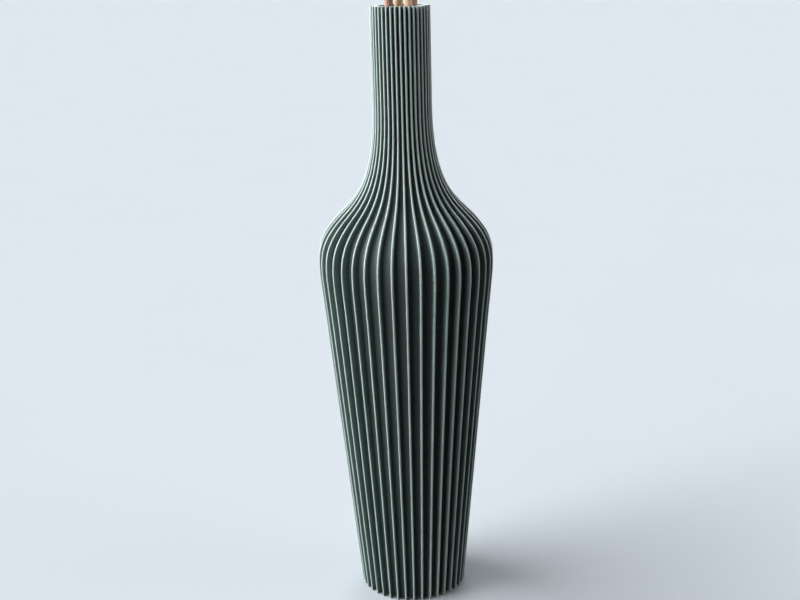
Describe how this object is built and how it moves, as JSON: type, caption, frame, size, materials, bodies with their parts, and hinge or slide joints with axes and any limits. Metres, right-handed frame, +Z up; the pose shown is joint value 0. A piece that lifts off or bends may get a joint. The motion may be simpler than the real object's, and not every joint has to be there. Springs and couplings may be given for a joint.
{
  "type": "ribbed bottle vase",
  "caption": "Tall printed bottle vase with deep vertical ribs, a round shoulder and a narrow neck, holding loose bare stems that lift out.",
  "frame": {"origin": "centre of the vase's flat underside, on the surface that it stands on", "axes": "+Z up along the vase's axis; -Y towards the viewer, with one fin pointing along -Y; +X to the viewer's right"},
  "size_m": [0.087, 0.087, 0.3703],
  "materials": {
    "green_print": "satin dark green filament print with fine level layer lines",
    "pink_tan_bark": "dry matt stem with fine lengthwise fibres",
    "straw_bark": "dry matt stem with fine lengthwise fibres",
    "orange_tan_bark": "dry matt stem with fine lengthwise fibres"
  },
  "bodies": {
    "vase": {"ribbed_vase": "green_print"},
    "left_stem": {"stem_left": "pink_tan_bark"},
    "middle_stem": {"stem_middle": "straw_bark"},
    "right_stem": {"stem_right": "orange_tan_bark"}
  },
  "joints": [
    {"name": "left_stem_lift", "type": "slide", "parent": "vase", "child": "left_stem", "axis": [-0.0121, 0.0262, 0.9996], "range_m": [0, 0.31]},
    {"name": "middle_stem_lift", "type": "slide", "parent": "vase", "child": "middle_stem", "axis": [-0.002, 0.0215, 0.9998], "range_m": [0, 0.31]},
    {"name": "right_stem_lift", "type": "slide", "parent": "vase", "child": "right_stem", "axis": [0.0111, 0.0252, 0.9996], "range_m": [0, 0.31]}
  ]
}
